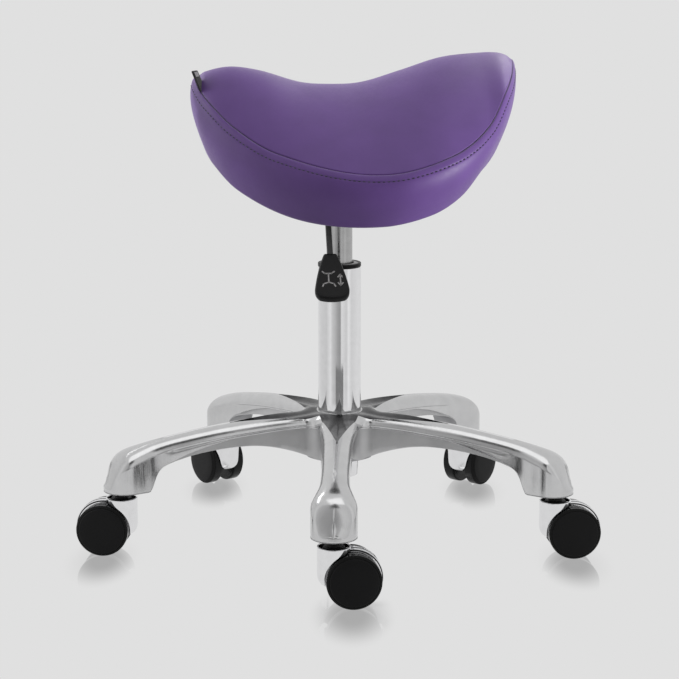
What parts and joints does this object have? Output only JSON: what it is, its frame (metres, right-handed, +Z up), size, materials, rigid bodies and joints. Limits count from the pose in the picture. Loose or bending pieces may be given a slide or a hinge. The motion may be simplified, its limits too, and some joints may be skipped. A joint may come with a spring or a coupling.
{
  "type": "saddle stool",
  "caption": "Height-adjustable swivel stool with a padded saddle seat on a gas lift, a lift lever under the seat and a polished star base on twin-wheel casters.",
  "frame": {"origin": "on the floor, under the middle of the whole object's box; the axis of the lift column stands at x = 1.8 mm, y = 9.5 mm", "axes": "+Z up; +X to the seat's raised rear, -X to its nose; -Y to the side the lever is on, with one leg of the star towards -Y"},
  "size_m": [0.6013, 0.5507, 0.5634],
  "materials": {
    "leatherette": "matt, fine grain",
    "aluminium": "polished",
    "chrome": "polished",
    "steel": "bright",
    "black_plastic": "fine texture",
    "black_steel": "black semi-gloss",
    "tread": "satin",
    "rubber": "matt",
    "plywood": "raw",
    "ribbon": "woven"
  },
  "bodies": {
    "base": {"star_base": "aluminium", "lift_outer_tube": "chrome", "guide_bush": "black_plastic", "top_ring": "black_plastic", "thrust_washer_lower": "steel", "caster_stem_front": "chrome", "caster_stem_right": "chrome", "caster_stem_back_right": "chrome", "caster_stem_back_left": "chrome", "caster_stem_left": "chrome"},
    "lift_rod": {"piston_rod": "steel", "thrust_bearing": "steel", "thrust_washer_upper": "steel", "bump_stop": "rubber", "piston_head": "black_plastic", "retaining_clip": "steel"},
    "seat": {"gas_cylinder": "steel", "cylinder_end_cap": "black_plastic", "taper_hub": "black_steel", "mount_plate": "black_steel", "lever_pivot_pin": "steel", "plate_bolt_1": "steel", "plate_bolt_2": "steel", "plate_bolt_3": "steel", "plate_bolt_4": "steel", "seat_pan": "plywood", "bottom_cover": "black_plastic", "seat_cushion": "leatherette", "label_tag": "ribbon"},
    "lever": {"lever_rod": "black_steel", "lever_paddle": "black_plastic"},
    "button": {"release_button": "black_plastic"},
    "caster_front": {"caster_hood_front": "chrome", "caster_bush_front": "black_plastic", "caster_axle_front": "steel"},
    "wheel_a_front": {"wheel_a_front": "tread"},
    "wheel_b_front": {"wheel_b_front": "tread"},
    "caster_right": {"caster_hood_right": "chrome", "caster_bush_right": "black_plastic", "caster_axle_right": "steel"},
    "wheel_a_right": {"wheel_a_right": "tread"},
    "wheel_b_right": {"wheel_b_right": "tread"},
    "caster_back_right": {"caster_hood_back_right": "chrome", "caster_bush_back_right": "black_plastic", "caster_axle_back_right": "steel"},
    "wheel_a_back_right": {"wheel_a_back_right": "tread"},
    "wheel_b_back_right": {"wheel_b_back_right": "tread"},
    "caster_back_left": {"caster_hood_back_left": "chrome", "caster_bush_back_left": "black_plastic", "caster_axle_back_left": "steel"},
    "wheel_a_back_left": {"wheel_a_back_left": "tread"},
    "wheel_b_back_left": {"wheel_b_back_left": "tread"},
    "caster_left": {"caster_hood_left": "chrome", "caster_bush_left": "black_plastic", "caster_axle_left": "steel"},
    "wheel_a_left": {"wheel_a_left": "tread"},
    "wheel_b_left": {"wheel_b_left": "tread"}
  },
  "joints": [
    {"name": "seat_swivel", "type": "hinge", "parent": "base", "child": "lift_rod", "pos_m": [0.0018, 0.0095, 0.08], "axis": [0, 0, 1], "continuous": true},
    {"name": "height_slide", "type": "slide", "parent": "lift_rod", "child": "seat", "axis": [0, 0, 1], "range_m": [-0.045, 0.085]},
    {"name": "lever_lift", "type": "hinge", "parent": "seat", "child": "lever", "pos_m": [0.00353, -0.01243, 0.404], "axis": [-0.9969, -0.0785, 0], "range_deg": [0, 8], "stiffness_Nm_per_rad": 1.2, "springref_deg": -20.05},
    {"name": "button_press", "type": "slide", "parent": "seat", "child": "button", "axis": [0, 0, -1], "range_m": [0, 0.0034]},
    {"name": "caster_swivel_front", "type": "hinge", "parent": "base", "child": "caster_front", "pos_m": [-0.0041, -0.25043, 0.062], "axis": [0, 0, 1], "continuous": true},
    {"name": "wheel_spin_a_front", "type": "hinge", "parent": "caster_front", "child": "wheel_a_front", "pos_m": [0.01529, -0.2484, 0.02963], "axis": [-0.1045, 0.9945, 0], "continuous": true},
    {"name": "wheel_spin_b_front", "type": "hinge", "parent": "caster_front", "child": "wheel_b_front", "pos_m": [0.01529, -0.2484, 0.02963], "axis": [-0.1045, 0.9945, 0], "continuous": true},
    {"name": "caster_swivel_right", "type": "hinge", "parent": "base", "child": "caster_right", "pos_m": [0.24719, -0.07643, 0.062], "axis": [0, 0, 1], "continuous": true},
    {"name": "wheel_spin_a_right", "type": "hinge", "parent": "caster_right", "child": "wheel_a_right", "pos_m": [0.26661, -0.07473, 0.02963], "axis": [-0.0872, 0.9962, 0], "continuous": true},
    {"name": "wheel_spin_b_right", "type": "hinge", "parent": "caster_right", "child": "wheel_b_right", "pos_m": [0.26661, -0.07473, 0.02963], "axis": [-0.0872, 0.9962, 0], "continuous": true},
    {"name": "caster_swivel_back_right", "type": "hinge", "parent": "base", "child": "caster_back_right", "pos_m": [0.15936, 0.21632, 0.062], "axis": [0, 0, 1], "continuous": true},
    {"name": "wheel_spin_a_back_right", "type": "hinge", "parent": "caster_back_right", "child": "wheel_a_back_right", "pos_m": [0.17082, 0.2321, 0.02963], "axis": [-0.809, 0.5878, 0], "continuous": true},
    {"name": "wheel_spin_b_back_right", "type": "hinge", "parent": "caster_back_right", "child": "wheel_b_back_right", "pos_m": [0.17082, 0.2321, 0.02963], "axis": [-0.809, 0.5878, 0], "continuous": true},
    {"name": "caster_swivel_back_left", "type": "hinge", "parent": "base", "child": "caster_back_left", "pos_m": [-0.14621, 0.22326, 0.062], "axis": [0, 0, 1], "continuous": true},
    {"name": "wheel_spin_a_back_left", "type": "hinge", "parent": "caster_back_left", "child": "wheel_a_back_left", "pos_m": [-0.15767, 0.23903, 0.02963], "axis": [-0.809, -0.5878, 0], "continuous": true},
    {"name": "wheel_spin_b_back_left", "type": "hinge", "parent": "caster_back_left", "child": "wheel_b_back_left", "pos_m": [-0.15767, 0.23903, 0.02963], "axis": [-0.809, -0.5878, 0], "continuous": true},
    {"name": "caster_swivel_left", "type": "hinge", "parent": "base", "child": "caster_left", "pos_m": [-0.24723, -0.06521, 0.062], "axis": [0, 0, 1], "continuous": true},
    {"name": "wheel_spin_a_left", "type": "hinge", "parent": "caster_left", "child": "wheel_a_left", "pos_m": [-0.26666, -0.06351, 0.02963], "axis": [-0.0872, -0.9962, 0], "continuous": true},
    {"name": "wheel_spin_b_left", "type": "hinge", "parent": "caster_left", "child": "wheel_b_left", "pos_m": [-0.26666, -0.06351, 0.02963], "axis": [-0.0872, -0.9962, 0], "continuous": true}
  ],
  "couplings": [
    {"joint": "button_press", "follows": "lever_lift", "m_per_rad": 0.0235}
  ]
}
